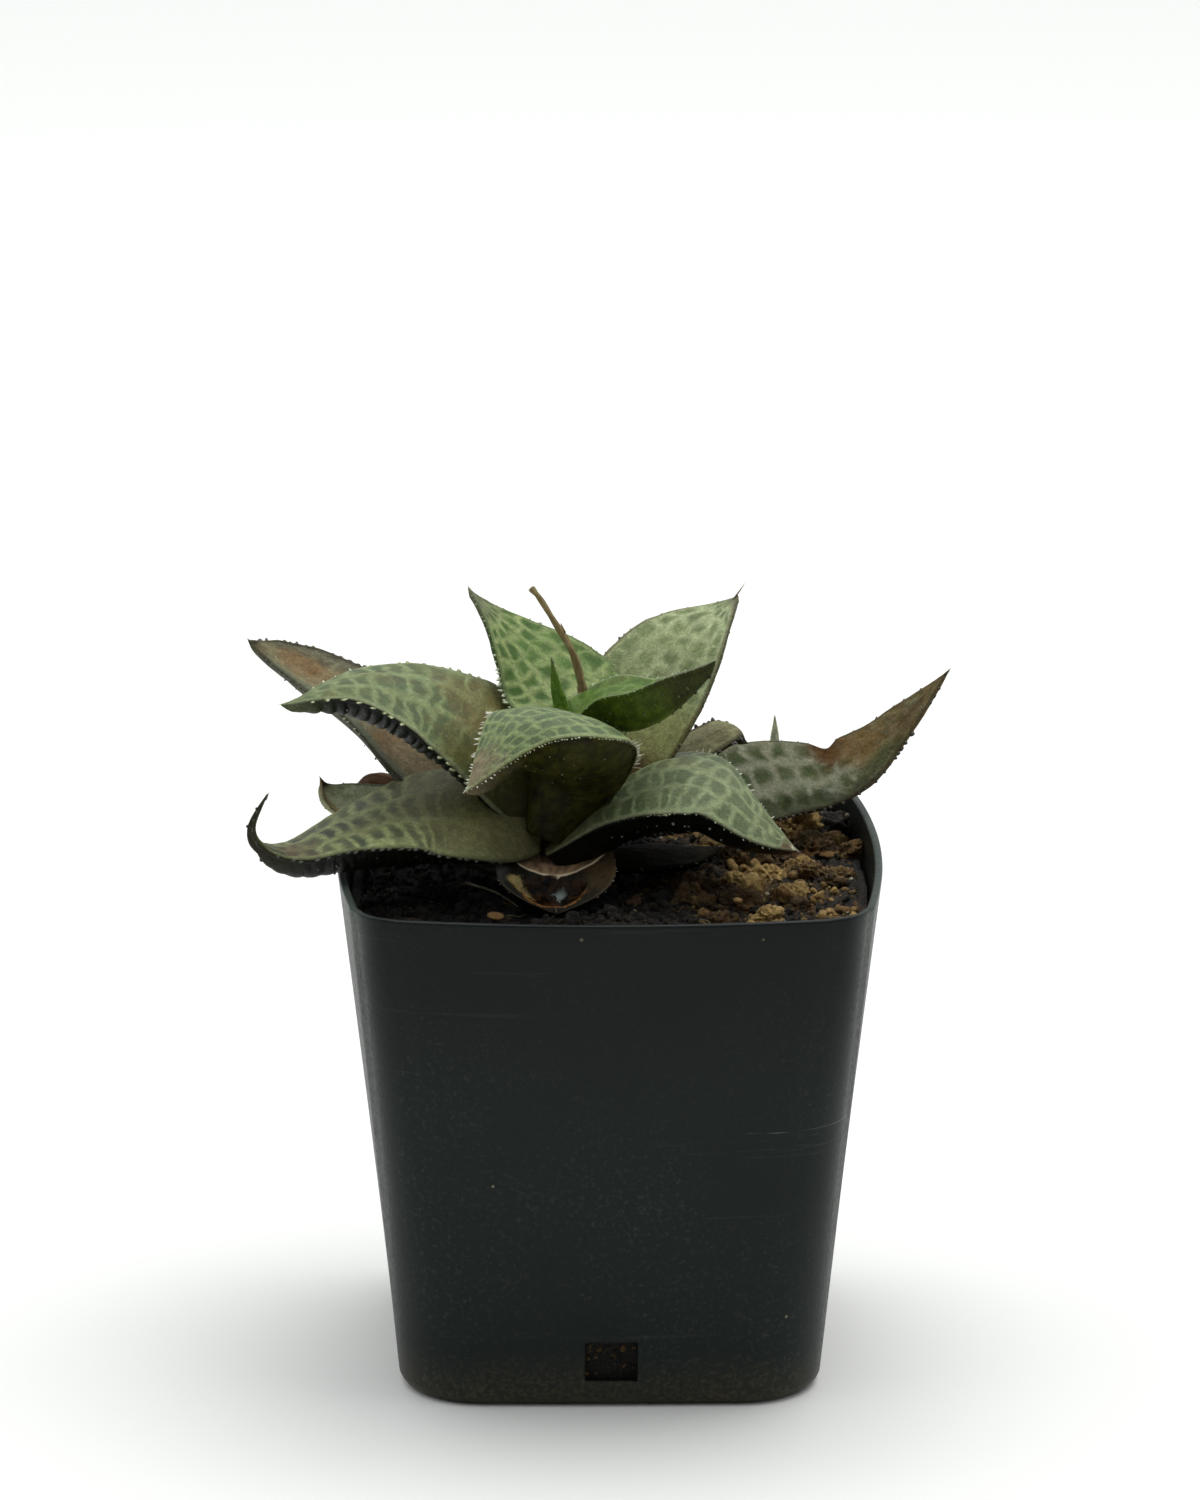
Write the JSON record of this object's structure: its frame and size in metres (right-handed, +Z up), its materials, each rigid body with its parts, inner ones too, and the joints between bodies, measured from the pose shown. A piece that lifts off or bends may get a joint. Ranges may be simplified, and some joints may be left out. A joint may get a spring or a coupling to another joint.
{
  "type": "potted haworthia",
  "caption": "Small succulent with a rosette of thick, pointed, toothed leaves, some of them dead, on a short stem in a filled square plastic nursery pot with drain holes",
  "frame": {"origin": "middle of the flat base of the pot", "axes": "+Z up; -Y towards the viewer of the picture, square to one side of the pot; +X to the viewer's right"},
  "size_m": [0.099, 0.075, 0.1072],
  "materials": {
    "pot_plastic": "satin",
    "soil": "rough, loose, part dry",
    "leaf_green": "waxy satin, pale net pattern",
    "leaf_dry": "dry, dull, blotched",
    "stem": "rough",
    "stalk": "dry",
    "shoot": "satin"
  },
  "bodies": {
    "root": {"pot": "pot_plastic", "plant_stem": "stem", "flower_stalk": "stalk", "leaf_centre": "leaf_green", "leaf_front": "leaf_green", "leaf_right_front": "leaf_green", "leaf_left": "leaf_green", "leaf_left_hooked": "leaf_green", "leaf_right_young": "leaf_green", "leaf_back_left": "leaf_green", "leaf_back_right": "leaf_green", "leaf_right_dead": "leaf_dry", "leaf_right_curled": "leaf_dry", "leaf_left_dead": "leaf_dry", "leaf_left_small": "leaf_dry", "leaf_left_scrap": "leaf_dry", "leaf_right_low": "leaf_dry", "leaf_back": "leaf_green", "leaf_back_low_left": "leaf_green", "leaf_back_low_right": "leaf_green", "leaf_front_dead": "leaf_dry", "offset_shoot": "shoot", "soil": "soil"}
  },
  "joints": []
}
